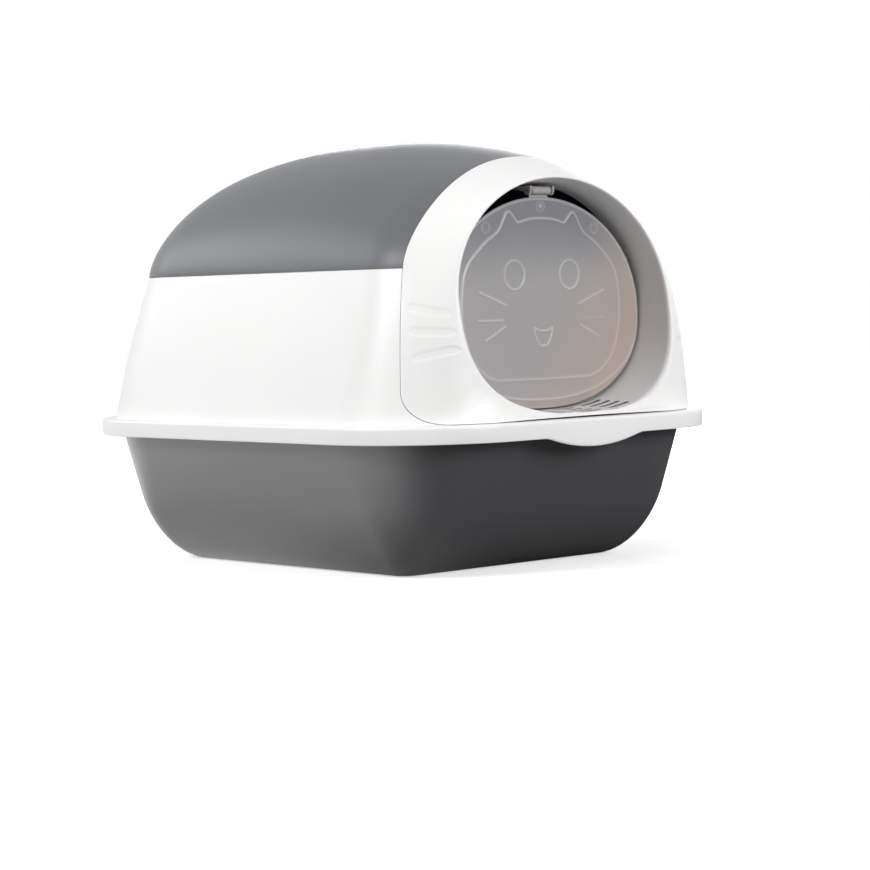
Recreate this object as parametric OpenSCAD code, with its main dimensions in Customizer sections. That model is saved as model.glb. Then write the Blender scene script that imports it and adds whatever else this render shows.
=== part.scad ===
// Hooded litter box: a deep tray, a skirt with a rim flange that drops over it, a round
// front entry with a swinging door, and a domed lid that folds back on two rear pins.
// Origin at the middle of the flat base, +Z up, the entry faces -Y. Millimetres.

/* [Rim] */
// Width over the rim flange
rim_w = 400; // [370:1:430]
// Length over the rim flange
rim_l = 500; // [470:1:530]
// Corner radius of the rim flange in plan
rim_r = 105; // [95:1:112]
// Height of the flange's lower edge above the floor
rim_z = 115; // [105:1:130]
// Height of the flange
rim_h = 15; // [13:0.5:18]
// How far the flange stands out past the skirt
rim_out = 9; // [8:0.5:11]

/* [Tray] */
// Wall of the tray
tray_wall = 3; // [2.4:0.1:4]
// Inset of the tray's side walls from the flange, at the flange's lower edge
tray_in_x = 12.5; // [11:0.5:16]
// Inset of the tray's end walls from the flange, at the flange's lower edge
tray_in_y = 23; // [20:0.5:26]
// Draft of the side walls, in degrees
tray_draft_x = 18; // [14:0.5:20]
// Draft of the end walls, in degrees
tray_draft_y = 26; // [20:0.5:28]
// Height at which the walls start to curve into the base
foot_h = 60; // [45:1:70]
// How far that curve runs in under the walls
foot_in = 30; // [22:1:34]
// Corner radius of the flat base
foot_r = 13; // [8:1:24]
// Corner radius of the tray under the flange
tray_r = 96; // [84:1:100]

/* [Skirt] */
// Height of the skirt above the flange, up to the lid's lower edge
skirt_h = 128; // [112:1:140]
// Wall of the skirt
skirt_wall = 3; // [2.4:0.1:3.6]
// Lean of the side and rear walls, in degrees
skirt_lean = 13; // [9:0.5:15]
// Lean of the front face, in degrees
face_lean = 7.5; // [5:0.5:9]
// Front corner radius at the top of the skirt
belt_rf = 75; // [66:1:84]
// Rear corner radius at the top of the skirt
belt_rr = 88; // [78:1:95]
// Height of the lip that locates the lid
lip_h = 4; // [3:0.5:6]
// Half width of the pull tab under the front of the flange
tab_half = 56; // [44:1:64]
// Drop of the pull tab
tab_drop = 9; // [5:0.5:11]

/* [Lid] */
// Rise of the lid's ridge above the skirt
lid_h = 113.5; // [100:0.5:120]
// Drop of the ridge from its top to the lid's front edge
ridge_drop = 23; // [16:1:26]
// Place of the ridge's highest point, behind the middle
ridge_y = -30; // [-50:1:0]
// Wall of the lid
lid_wall = 2.2; // [1.8:0.1:2.6]
// Depth of the entry bezel behind the front face, at the lid's lower edge
seam_in = 41; // [36:1:46]
// How far the lid's front edge runs back at its top
seam_back = 12; // [8:1:13]

/* [Entry] */
// Width of the entry's mouth
mouth_w = 250; // [236:1:256]
// Depth of the mouth's widest place below the lid's lower edge
mouth_mid = 30; // [26:1:36]
// Rise of the mouth above its widest place
mouth_up = 104; // [98:1:108]
// Wall of the bezel's tunnel
bezel_wall = 2.6; // [2.2:0.1:3]
// Distance of the door's plane behind the front face's foot
door_in = 52; // [50:0.5:56]
// Length of the tunnel behind the door's plane
tunnel_back = 12; // [8:1:16]
// Narrowing of the tunnel on each side, from its mouth to its rear end
tunnel_taper = 4.5; // [3:0.5:6]
// Width of a drain slot in the tunnel's floor
slot_w = 4.4; // [3.6:0.2:5]
// Length of a drain slot
slot_len = 24; // [20:1:26]
// Pitch of the drain slots, from front to rear
slot_pitch = 11; // [10:0.5:12]
// Gap between neighbouring columns of drain slots
slot_gap = 10; // [8:1:12]

/* [Door] */
// Gap around the door, inside the tunnel
door_gap = 2.6; // [2:0.2:4]
// Thickness of the door
door_t = 2; // [1.6:0.1:2.4]
// Height of the relief on the door
relief_h = 0.9; // [0.6:0.1:1.2]
// Gap between the door's top edge and the tunnel
door_top_gap = 11; // [9:0.5:14]
// Gap between the door's lower edge and the tunnel's floor
door_low_gap = 1.2; // [1:0.2:4]
// Width of the hanger bracket
hanger_w = 29; // [26:1:34]
// Diameter of the door's pin
door_pin_d = 3; // [2.5:0.1:3.5]

/* [Hinge and fits] */
// Diameter of the lid's hinge pins
lid_pin_d = 4; // [3:0.1:5]
// Distance of each lid hinge from the middle
hinge_x = 55; // [40:1:60]
// Width of each hinge knuckle
knuckle_w = 10; // [8:0.5:12]
// Wall of the knuckles around their pins
knuckle_wall = 2.5; // [2:0.1:3]
// Gap between pieces that rest on each other
seat_gap = 0.3; // [0.2:0.05:0.5]
// Shadow gap along the bezel's seam
seam_gap = 0.5; // [0.4:0.1:0.8]
// Running clearance of a pin in a moving bore, on the radius
run_gap = 0.08; // [0.04:0.01:0.1]
// Clearance of a pin in a fixed bore, on the radius
held_gap = 0.03; // [0.02:0.01:0.05]

/* [Hidden] */
$fn = 48;

// Heights
plate_z = rim_z + rim_h;
belt_z = plate_z + skirt_h;
lean_x = tan(skirt_lean);
lean_f = tan(face_lean);

// Steps around a quarter corner, and along the curved walls
corner_n = 10;
curve_n = 7;

// ---------- plan outlines ----------
// Rounded rectangle, anticlockwise from the +X side: half width a, front at -f, rear at r,
// front and rear corner radii rf and rr
function corner(cx, cy, rad, from, z) =
    [for (k = [0 : corner_n]) let (t = from + 90 * k / corner_n)
        [cx + rad * cos(t), cy + rad * sin(t), z]];
function outline(a, f, r, rf, rr, z) = concat(
    corner(a - rr, r - rr, rr, 0, z),
    corner(rr - a, r - rr, rr, 90, z),
    corner(rf - a, rf - f, rf, 180, z),
    corner(a - rf, rf - f, rf, 270, z));

// ---------- solids from rings of points ----------
// Two triangles for each cell of a grid of rows; ring is the number of points in a row
function cell(a, b, c, d) = [[a, b, c], [a, c, d]];
function band(row, ring) = [for (k = [0 : ring - 1]) let (n = (k + 1) % ring)
    each cell(row * ring + k, (row + 1) * ring + k, (row + 1) * ring + n, row * ring + n)];
// Closed rings stacked from the first to the last, with a flat cap at both ends
module stack(rings) {
    ring = len(rings[0]);
    rows = len(rings);
    points = [for (r = rings) each r];
    sides = [for (j = [0 : rows - 2]) each band(j, ring)];
    first = [for (k = [0 : ring - 1]) k];
    last = [for (k = [ring - 1 : -1 : 0]) (rows - 1) * ring + k];
    polyhedron(points, concat(sides, [first], [last]));
}
// Closed rings whose last joins the first again
module hoop(rings) {
    ring = len(rings[0]);
    rows = len(rings);
    points = [for (r = rings) each r];
    wrap = [for (j = [0 : rows - 1], k = [0 : ring - 1])
        let (n = (k + 1) % ring, m = (j + 1) % rows)
        each cell(j * ring + k, m * ring + k, m * ring + n, j * ring + n)];
    polyhedron(points, wrap);
}
// A thick sheet between an outer and an inner grid of the same rows and columns: every row
// becomes a closed ring, out along the outer face and back along the inner one
module sheet(outer, inner) {
    cols = len(outer[0]);
    rings = [for (j = [0 : len(outer) - 1])
        concat(outer[j], [for (k = [cols - 1 : -1 : 0]) inner[j][k]])];
    ring = 2 * cols;
    rows = len(rings);
    points = [for (r = rings) each r];
    sides = [for (j = [0 : rows - 2]) each band(j, ring)];
    function end(row) = [for (k = [0 : cols - 2])
        [row * ring + k, row * ring + k + 1, row * ring + ring - 2 - k, row * ring + ring - 1 - k]];
    first = [for (q = end(0)) each [[q[0], q[1], q[2]], [q[0], q[2], q[3]]]];
    last = [for (q = end(rows - 1)) each [[q[2], q[1], q[0]], [q[3], q[2], q[0]]]];
    polyhedron(points, concat(sides, first, last));
}

// ---------- tray ----------
// Top of the tray's lip, and the inset of the lip's edge from the flange's outline
tray_top = plate_z - skirt_wall - seat_gap;
lip_edge = skirt_wall + 2 * seat_gap;
// How far the curved foot has run in at height z: 1 at the base, 0 above the curve
function foot(z) = z < foot_h ? 1 - sqrt(max(0, 1 - pow((foot_h - z) / foot_h, 2))) : 0;
function tray_x(z) = rim_w / 2 - tray_in_x - (rim_z - z) * tan(tray_draft_x) - foot_in * foot(z);
function tray_y(z) = rim_l / 2 - tray_in_y - (rim_z - z) * tan(tray_draft_y) - foot_in * foot(z);
function tray_rad(z) = foot_r + (tray_r - foot_r) * min(1, z / rim_z);
// The wall's outline at height z, moved in by "in" and up by "up"
function tray_ring(z, in, up) = let (b = tray_y(z) - in, r = tray_rad(z) - in)
    outline(tray_x(z) - in, b, b, r, r, z + up);
function lip_ring(z) = let (b = rim_l / 2 - lip_edge, r = rim_r - lip_edge)
    outline(rim_w / 2 - lip_edge, b, b, r, r, z);
foot_levels = [for (k = [0 : curve_n]) foot_h * (1 - cos(90 * k / curve_n))];
wall_levels = [(foot_h + rim_z) / 2, rim_z];

module tray() color("#6f7375") {
    outside = [for (z = concat(foot_levels, wall_levels, [tray_top - tray_wall])) tray_ring(z, 0, 0)];
    lip = [lip_ring(tray_top - tray_wall), lip_ring(tray_top)];
    levels = concat(foot_levels, wall_levels, [tray_top]);
    count = len(levels);
    inside = [for (k = [count - 1 : -1 : 0]) let (z = levels[k])
        tray_ring(z, tray_wall, tray_wall * max(0, 1 - z / foot_h))];
    stack(concat(outside, lip, inside));
}

// ---------- skirt ----------
// Half width, front face, rear face and corner radii of the skirt at height z
function skirt_x(z) = rim_w / 2 - rim_out - (z - plate_z) * lean_x;
function skirt_f(z) = rim_l / 2 - rim_out - (z - plate_z) * lean_f;
function skirt_b(z) = rim_l / 2 - rim_out - (z - plate_z) * lean_x;
function fade(z, power) = pow(max(0, 1 - (z - plate_z) / skirt_h), power);
function rad_f(z) = belt_rf + (rim_r - belt_rf) * fade(z, 1.6);
function rad_b(z) = belt_rr + (rim_r - belt_rr) * fade(z, 2.4);
// Half width of the front corner at depth y, and depth of the front face at half width x
function corner_x(z, y) = let (r = rad_f(z), c = skirt_f(z) - r)
    skirt_x(z) - r + sqrt(max(0, r * r - pow(max(0, y - c), 2)));
function face_y(z, x) = let (r = rad_f(z), c = skirt_x(z) - r)
    skirt_f(z) - r + sqrt(max(0, r * r - pow(max(0, x - c), 2)));

// The seam between the skirt and the bezel, as a depth in front of the middle: it leans a
// little, and a knee turns it forward above the flange
seam_lean = 6.4;
knee_r = 32;
knee_z = plate_z + knee_r;
seam_belt = skirt_f(belt_z) - seam_in;
knee_y = seam_belt + (belt_z - knee_z) * tan(seam_lean);
function seam(z) = z > knee_z ? seam_belt + (belt_z - z) * tan(seam_lean)
    : knee_y + knee_r - sqrt(max(0, knee_r * knee_r - pow(knee_z - z, 2)));
function seam_angle(z) = acos(min(1, (seam(z) - skirt_f(z) + rad_f(z)) / rad_f(z)));

// Half of the skirt's outline at height z, from the seam round to the middle of the rear
function half_wall(z, in, side) = let (
    a = skirt_x(z), f = rad_f(z), r = rad_b(z), s = seam_angle(z))
    concat([for (k = [0 : corner_n / 2]) let (t = s + (90 - s) * 2 * k / corner_n)
            [side * (a - f + (f - in) * sin(t)), f - skirt_f(z) - (f - in) * cos(t), z]],
        [for (k = [0 : corner_n]) let (t = 90 * k / corner_n)
            [side * (a - r + (r - in) * cos(t)), skirt_b(z) - r + (r - in) * sin(t), z]]);
function backward(list) = [for (k = [len(list) - 1 : -1 : 0]) list[k]];
function wall_row(z, in) = concat(half_wall(z, in, -1), backward(half_wall(z, in, 1)));
function lift(row, z) = [for (p = row) [p[0], p[1], z]];

// Top edge of the skirt, and the step inside it that locates the lid
belt_top = belt_z - seat_gap;
step_in = lid_wall + 2 * seat_gap;
step_wall = step_in + 1.4;
// How far the step's lip leans in, with the lid's own curve
lip_lean = 0.8;
// Rows along the seam's straight side and round its knee
side_steps = 5;
knee_steps = 5;
side_levels = [for (k = [1 : side_steps]) belt_z + (knee_z - belt_z) * k / side_steps];

module skirt_wall_shell() {
    low = [for (k = [knee_steps : -1 : 1]) knee_z - knee_r * sin(90 * k / knee_steps)];
    rows = concat([plate_z - 1], low, backward(side_levels));
    outer = concat([for (z = rows) wall_row(z, 0)],
        [wall_row(belt_z - 6, 0), lift(wall_row(belt_z, 0), belt_top)],
        [lift(wall_row(belt_z, step_in), belt_top),
            lift(wall_row(belt_z, step_in + lip_lean), belt_top + lip_h)]);
    inner = concat([for (z = rows) wall_row(z, skirt_wall)],
        [wall_row(belt_z - 6, step_wall), lift(wall_row(belt_z, step_wall), belt_top)],
        [lift(wall_row(belt_z, step_wall + lip_lean / 2), belt_top + lip_h / 2),
            lift(wall_row(belt_z, step_wall + lip_lean), belt_top + lip_h)]);
    sheet(backward(outer), backward(inner));
}
function flange_ring(z, in) = let (b = rim_l / 2 - in, r = rim_r - in)
    outline(rim_w / 2 - in, b, b, r, r, z);
module flange() {
    inside = rim_out + skirt_wall + 2;
    hoop([flange_ring(rim_z, 0), flange_ring(plate_z, 0), flange_ring(plate_z, inside),
        flange_ring(plate_z - skirt_wall, inside), flange_ring(plate_z - skirt_wall, skirt_wall),
        flange_ring(rim_z, skirt_wall)]);
}
// The pull tab: a shallow arc hanging from the front of the flange
module pull_tab() {
    arc = [for (k = [0 : 16]) let (u = -1 + k / 8)
        [u * tab_half, rim_z - tab_drop * (1 - u * u)]];
    translate([0, skirt_wall - rim_l / 2, 0]) rotate([90, 0, 0]) linear_extrude(skirt_wall)
        polygon(concat([[tab_half, rim_z + 2], [-tab_half, rim_z + 2]], arc));
}

// ---------- lid hinge ----------
hinge_r = lid_pin_d / 2 + knuckle_wall;
hinge_y = skirt_b(belt_z) + hinge_r + 1.5;
hinge_z = belt_z;
knuckle_gap = 0.4;
pin_len = 3 * knuckle_w + 2 * knuckle_gap;
module along_x(from, len, r) translate([from, hinge_y, hinge_z]) rotate([0, 90, 0]) cylinder(r = r, h = len);
// One fixed ear, reaching down to the rear wall
module ear(from) {
    reach = 11;
    difference() {
        union() {
            along_x(from, knuckle_w, hinge_r);
            translate([from, 0, 0]) rotate([90, 0, 90]) linear_extrude(knuckle_w)
                polygon([[hinge_y, hinge_z - hinge_r], [hinge_y + hinge_r, hinge_z],
                    [hinge_y - 1, hinge_z], [skirt_b(belt_z) + 0.8, belt_top - 0.6],
                    [skirt_b(belt_z) - 1, belt_top - 0.6],
                    [skirt_b(belt_z) - 1 + reach * lean_x, belt_z - reach],
                    [hinge_y, hinge_z - hinge_r - 0.5]]);
        }
        along_x(from - 1, knuckle_w + 2, lid_pin_d / 2 + held_gap);
    }
}
module ears(side) {
    middle = side * hinge_x;
    ear(middle - pin_len / 2);
    ear(middle + pin_len / 2 - knuckle_w);
}
// The lid's knuckle between the two ears
module lid_knuckle(side) {
    from = side * hinge_x - knuckle_w / 2;
    reach = 9;
    difference() {
        union() {
            along_x(from, knuckle_w, hinge_r);
            translate([from, 0, 0]) rotate([90, 0, 90]) linear_extrude(knuckle_w)
                polygon([[hinge_y + hinge_r, hinge_z], [hinge_y, hinge_z + hinge_r],
                    [skirt_b(belt_z) - 1.2, belt_z + reach], [skirt_b(belt_z) - 1.2, belt_z + 0.6],
                    [hinge_y - 1, belt_z + 0.6]]);
        }
        along_x(from - 1, knuckle_w + 2, lid_pin_d / 2 + run_gap);
    }
}
module lid_hinge_pin(side) color("#8f9294") along_x(side * hinge_x - pin_len / 2, pin_len, lid_pin_d / 2);

module hood_frame() color("#f4f3f1") {
    flange();
    skirt_wall_shell();
    pull_tab();
    ears(-1);
    ears(1);
}

// ---------- lid ----------
ridge_power = 3;
arch_power = 1.55;
// Half width of the lid's foot and rise of its ridge at place y
function lid_x(y, in) = let (a = skirt_x(belt_z), f = belt_rf, r = belt_rr,
    df = max(0, f - skirt_f(belt_z) - y), db = max(0, y - skirt_b(belt_z) + r))
    df > 0 ? a - f + sqrt(max(0, f * f - df * df)) - in
        : a - r + sqrt(max(0, pow(r - in, 2) - db * db));
function lid_rise(y, in) = let (end = skirt_b(belt_z) - in)
    y < ridge_y ? lid_h - in - ridge_drop * pow((ridge_y - y) / (ridge_y + seam_belt), 2)
        : (lid_h - in) * pow(max(0, 1 - pow((y - ridge_y) / (end - ridge_y), ridge_power)), 1 / ridge_power);
// Depth of the arch that starts at place y, where it has risen to the share s of its way up:
// the front edge curls back towards its top, and the arches behind it do so less and less
curl_power = 4.4;
function arch_y(y, s) = y + seam_back * max(0, (ridge_y - y) / (ridge_y + seam_belt)) * pow(s, curl_power);
// One arch of the lid's outer face (in = 0) or inner face (in = the wall)
arch_n = 24;
function arch_point(y, in, t) = let (d = arch_y(y, sin(t)))
    [-lid_x(d, in) * cos(t), d, belt_z + lid_rise(d, in) * pow(sin(t), 2 / arch_power)];
function arch(y, in) = [for (k = [0 : arch_n]) arch_point(y, in, 180 * k / arch_n)];
// Places of the arches: widest apart at the ridge, closer and closer to both ends
lid_front_n = 9;
lid_rear_n = 15;
function lid_places(in) = concat(
    [for (k = [0 : lid_front_n - 1]) ridge_y - (ridge_y + seam_belt) * cos(90 * k / lid_front_n)],
    [for (k = [0 : lid_rear_n]) ridge_y + (skirt_b(belt_z) - in - ridge_y) * sin(90 * k / lid_rear_n)]);

module dome_lid() color("#7f8487") {
    lid_knuckle(-1);
    lid_knuckle(1);
    sheet([for (y = lid_places(0)) arch(y, 0)], [for (y = lid_places(lid_wall)) arch(y, lid_wall)]);
}

// ---------- entry bezel ----------
// The bezel is one closed shell. Its stations run round the mouth, from the top over one
// side to the bottom and back up the other: m counts degrees round the mouth
mouth_z = belt_z - mouth_mid;
sill_z = plate_z + seam_gap + bezel_wall + 1;
mouth_down = mouth_z - sill_z;
round_low = 2.7;
function egg(m, w, up, down) = m < 90 ? [w * sin(m), up * cos(m)]
    : [w * pow(sin(m), 2 / round_low), -down * pow(-cos(m), 2 / round_low)];
// Edge of the mouth, set back a little where it runs round to the sides
mouth_set = 5;
function mouth(m) = let (e = egg(m, mouth_w / 2, mouth_up, mouth_down), z = mouth_z + e[1])
    [e[0], mouth_set * pow(2 * e[0] / mouth_w, 2) - skirt_f(z), z];
// Section of the tunnel at depth y behind the foot of the front face, grown by "out"
foot_y = rim_out - rim_l / 2;
door_y = foot_y + door_in;
tunnel_y = door_y + tunnel_back;
tunnel_drop = 1.5;
function throat(m, out) = let (
    e = egg(m, mouth_w / 2 - tunnel_taper + out, mouth_up - tunnel_taper + out,
        mouth_down - tunnel_drop + out))
    [e[0], tunnel_y, mouth_z + e[1]];

// The seam's line, seen from the front: an arch over the lid's edge, then down the sides,
// round the knee and along the flange
arch_steps = arch_n / 2;
floor_steps = 7;
bezel_low = plate_z + seam_gap;
function seam_point(z, y) = [corner_x(z, y), -y - seam_gap, z];
knee_end = seam_point(bezel_low, knee_y + knee_r);
seam_line = concat(
    [for (k = [0 : arch_steps]) arch_point(-seam_belt, 0, 90 + 90 * k / arch_steps) - [0, seam_gap, 0]],
    [for (z = side_levels) seam_point(z, seam(z))],
    [for (k = [1 : knee_steps]) let (t = 90 * k / knee_steps)
        seam_point(knee_z - (knee_z - bezel_low) * sin(t), knee_y + knee_r * (1 - cos(t)))],
    [for (k = [1 : floor_steps]) let (x = knee_end[0] * (1 - k / floor_steps))
        [x, -face_y(bezel_low, x), bezel_low]]);
// Where each station of that line meets the mouth, in degrees round it
function spread(from, to, count) = [for (k = [1 : count]) from + (to - from) * k / count];
stations = concat([0], spread(0, 77, arch_steps), spread(77, 110, side_steps),
    spread(110, 128, knee_steps), spread(128, 180, floor_steps));
half_n = len(stations) - 1;

// A lip behind the seam, which the lid and the skirt's side edges lie over
lip_in = step_wall + lip_lean;
lip_depth = 7;
lip_wall = 1.6;

// The cheek swells from the mouth's edge to the seam, and is nearly straight over the arch
cheek_steps = 5;
arch_slope = 0.95;
cheek_slope = 0.42;
cheek_power = 3.3;
function slope(m) = arch_slope + (cheek_slope - arch_slope) * max(0, min(1, (m - 68) / 28));
function swell(u, m) = slope(m) * u + (1 - slope(m)) * pow(u, cheek_power);
function between(p, q, u, v) = [p[0] + (q[0] - p[0]) * u, p[1] + (q[1] - p[1]) * v,
    p[2] + (q[2] - p[2]) * u];
// A seam point moved in towards the middle of the mouth
function inward(p, in) = let (dx = p[0], dz = p[2] - mouth_z, d = sqrt(dx * dx + dz * dz))
    [p[0] - dx * in / d, p[1], p[2] - dz * in / d];
cheek_wall = lip_in + 1;
// One station's ring: out over the cheek, in across the seam's edge, back under the cheek,
// then along the tunnel's outside, round its rear edge and forward along its inside
function bezel_ring(k) = let (
    m = stations[k], q = seam_line[k], p = mouth(m), w = throat(m, 0), v = throat(m, bezel_wall),
    room = min(1, norm([q[0] - p[0], q[2] - p[2]]) / 14),
    qi = inward(q, cheek_wall * room),
    pi = between(p, v, 0.35, 0.35) + (inward(p, -1) - p) * bezel_wall * room)
    concat([for (j = [0 : cheek_steps]) let (u = j / cheek_steps) between(p, q, u, swell(u, m))],
        [qi],
        [for (j = [cheek_steps - 1 : -1 : 1]) let (u = j / cheek_steps)
            between(pi, qi, u, swell(u, m))],
        [for (j = [0 : 3]) between(pi, v, j / 3, j / 3)],
        [for (j = [0 : 3]) between(w, p, j / 4, j / 4)]);
function mirrored(ring) = [for (p = ring) [-p[0], p[1], p[2]]];
bezel_rings = concat([for (k = [0 : half_n]) bezel_ring(k)],
    [for (k = [half_n - 1 : -1 : 1]) mirrored(bezel_ring(k))]);

function lip_row(y_shift, in) = let (last = arch_steps + side_steps,
    half = [for (k = [0 : last]) let (q = inward(seam_line[k], in)) [q[0], q[1] + y_shift, q[2]]])
    concat([for (k = [last : -1 : 1]) [-half[k][0], half[k][1], half[k][2]]], half);
module seam_lip() {
    front = -5;
    sheet([for (dy = [front, seam_gap + lip_depth]) lip_row(dy, lip_in)],
        [for (dy = [front, seam_gap + lip_depth]) lip_row(dy, lip_in + lip_wall)]);
}
// Drain slots cut through the tunnel's floor, in four columns of four
slot_first = 6.5;
slot_cut = 30;
module slots() {
    for (column = [-1.5 : 1.5], k = [0 : 3])
        translate([column * (slot_len + slot_gap) - slot_len / 2,
            door_y - slot_first - k * slot_pitch - slot_w / 2, plate_z])
            cube([slot_len, slot_w, slot_cut]);
}

module entry_bezel() color("#f1f0ee") {
    difference() {
        hoop(backward(bezel_rings));
        slots();
    }
    seam_lip();
}

// ---------- door ----------
// The door hangs on a pin near its top edge and keeps a gap to the tunnel
mouth_depth = door_in - mouth_up * lean_f;
throat_w = mouth_w - 2 * tunnel_taper * mouth_depth / (mouth_depth + tunnel_back);
throat_top = mouth_z + mouth_up - tunnel_taper;
door_top = throat_top - door_top_gap;
door_low = sill_z + tunnel_drop + door_low_gap;
door_mid = mouth_z - 12;
door_half = throat_w / 2 - door_gap;
door_back = door_y + door_t / 2;
door_front = door_y - door_t / 2;
// Roundness of its outline above and below the widest line
power_up = 2.04;
power_low = 2.3;
door_n = 48;
function door_edge(m) = let (c = cos(m), h = c > 0 ? door_top - door_mid : door_mid - door_low,
    power = c > 0 ? power_up : power_low)
    [door_half * sign(sin(m)) * pow(abs(sin(m)), 2 / power),
        door_mid + h * sign(c) * pow(abs(c), 2 / power)];
module door_outline() polygon([for (k = [0 : door_n - 1]) door_edge(360 * k / door_n)]);
// Stand a flat shape, drawn in X and Z, up with its back at depth y and its front nearer
module upright(y, thick) translate([0, y, 0]) rotate([90, 0, 0]) linear_extrude(thick) children();

// Relief, in real sizes from the middle of the door's widest line: half of a cat's head, from
// the brow over the ear and cheek to the chin, then its eye, whiskers and muzzle
head = [[0, 81], [24, 79], [32, 77], [40, 87.5], [50, 76], [66, 54], [85, 30], [95, 6],
    [93, -18], [80, -40], [62, -51], [46, -54], [0, -55]];
eye_mid = [33, 34.5];
eye_half = [13, 14.5];
whiskers = [[[44, 9], [74, 20]], [[47, -4], [75, -4]], [[45, -10], [68, -20]]];
whisker_w = 1.8;
muzzle = [[8, -10], [5.5, -19], [0, -24]];
// The size of door that the relief is drawn for; it grows with the door
drawn_half = 119;
drawn_h = 178;
function on_door(p, side) = [side * p[0] * door_half / drawn_half,
    door_mid + p[1] * (door_top - door_low) / drawn_h];
module both_halves(half) polygon(concat([for (p = half) on_door(p, 1)],
    [for (k = [len(half) - 1 : -1 : 0]) if (half[k][0] > 0) on_door(half[k], -1)]));
module eye(side) polygon([for (k = [0 : 23])
    on_door(eye_mid + [eye_half[0] * cos(15 * k), eye_half[1] * sin(15 * k)], side)]);
module whisker(ends, side) let (up = [0, whisker_w / 2]) polygon([on_door(ends[0] + up, side),
    on_door(ends[1] + up, side), on_door(ends[1] - up, side), on_door(ends[0] - up, side)]);

module door_flap() color("#b9b9bc") difference() {
    union() {
        upright(door_back, door_t) door_outline();
        upright(door_y, door_t / 2 + relief_h) difference() {
            both_halves(head);
            both_halves(muzzle);
            for (side = [-1, 1]) {
                eye(side);
                for (ends = whiskers) whisker(ends, side);
            }
        }
    }
    translate([0, door_back + 1, peg_z]) rotate([90, 0, 0]) cylinder(r = peg_r + held_gap, h = door_t + 2);
}

// ---------- door hanger ----------
// Wall of the hanger's eye around the pin, thickness of its tongue behind the door, and the
// peg that holds the tongue in the door
eye_wall = 2.1;
eye_r = door_pin_d / 2 + eye_wall;
pin_z = door_top + eye_r + 2;
tongue_t = 1.6;
peg_r = 2.4;
peg_z = door_top - 8;
web_t = 2.4;
side_play = 1.2;
eye_w = hanger_w - 2 * web_t - 2 * side_play;
tongue_low = peg_z - 6;
tongue_back = door_back + held_gap + tongue_t;

module door_hanger() color("#c6c6c8") difference() {
    union() {
        translate([-eye_w / 2, door_y, pin_z]) rotate([0, 90, 0]) cylinder(r = eye_r, h = eye_w);
        translate([-eye_w / 2, tongue_back - tongue_t, tongue_low])
            cube([eye_w, tongue_t, pin_z - tongue_low]);
        translate([0, tongue_back - tongue_t / 2, peg_z]) rotate([90, 0, 0])
            cylinder(r = peg_r, h = tongue_t / 2 + door_t + 0.5);
    }
    translate([-eye_w, door_y, pin_z]) rotate([0, 90, 0])
        cylinder(r = door_pin_d / 2 + run_gap, h = 2 * eye_w);
}
// The bracket clips over the tunnel's rear edge: a jaw above the ceiling, a spine behind it
// and two webs that run forward under it to the pin
jaw_t = 2.4;
jaw_z = throat_top + bezel_wall + 2;
jaw_reach = 9;
jaw_len = 30;
ear_r = 4;
arm_top = throat_top - 1.4;
web_back = tunnel_y + jaw_len - jaw_reach;
web_outline = [[door_y - ear_r, pin_z], [door_y + 3.8, pin_z - 0.8], [web_back - 4, pin_z + 4],
    [web_back, jaw_z + jaw_t], [tunnel_y - jaw_reach, jaw_z + jaw_t], [tunnel_y - jaw_reach, jaw_z],
    [tunnel_y + 0.4, jaw_z], [tunnel_y + 0.4, arm_top], [door_y - ear_r, arm_top]];
module web(x) translate([x, 0, 0]) rotate([90, 0, 90]) linear_extrude(web_t) difference() {
    union() {
        polygon(web_outline);
        translate([door_y, pin_z]) circle(r = ear_r);
    }
    translate([door_y, pin_z]) circle(r = door_pin_d / 2 + held_gap);
}
module hanger_bracket() color("#bdbcba") {
    between_webs = hanger_w - web_t;
    web(-hanger_w / 2);
    web(hanger_w / 2 - web_t);
    translate([-between_webs / 2, tunnel_y - jaw_reach, jaw_z]) cube([between_webs, jaw_len, jaw_t]);
    translate([-between_webs / 2, tunnel_y + 8, pin_z + 3]) cube([between_webs, web_t, jaw_z - pin_z - 2]);
}
module hanger_pin() color("#a9aaac")
    translate([-hanger_w / 2, door_y, pin_z]) rotate([0, 90, 0]) cylinder(d = door_pin_d, h = hanger_w);

tray();
hood_frame();
entry_bezel();
dome_lid();
door_flap();
door_hanger();
hanger_bracket();
hanger_pin();
lid_hinge_pin(-1);  // lid_hinge_pin_left
lid_hinge_pin(1);  // lid_hinge_pin_right
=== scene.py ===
# Hooded litter box: dark glossy tray, white skirt and arched entry, grey dome, frosted swing door
import bmesh
import bpy
import math
from mathutils import Matrix, Vector


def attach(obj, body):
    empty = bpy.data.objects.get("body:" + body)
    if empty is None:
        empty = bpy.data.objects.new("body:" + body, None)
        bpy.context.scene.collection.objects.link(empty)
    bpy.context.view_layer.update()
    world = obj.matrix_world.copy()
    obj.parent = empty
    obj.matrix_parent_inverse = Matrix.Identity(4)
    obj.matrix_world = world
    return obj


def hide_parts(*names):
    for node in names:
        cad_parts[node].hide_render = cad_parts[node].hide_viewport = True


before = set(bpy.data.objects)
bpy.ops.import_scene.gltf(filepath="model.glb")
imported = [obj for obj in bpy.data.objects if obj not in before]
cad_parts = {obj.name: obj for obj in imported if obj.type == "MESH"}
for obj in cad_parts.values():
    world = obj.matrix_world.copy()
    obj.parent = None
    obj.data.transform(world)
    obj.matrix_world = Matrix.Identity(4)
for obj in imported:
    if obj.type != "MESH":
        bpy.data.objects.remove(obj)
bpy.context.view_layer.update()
mm = 0.001
print("frame loaded:", len(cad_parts), "nodes")

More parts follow.
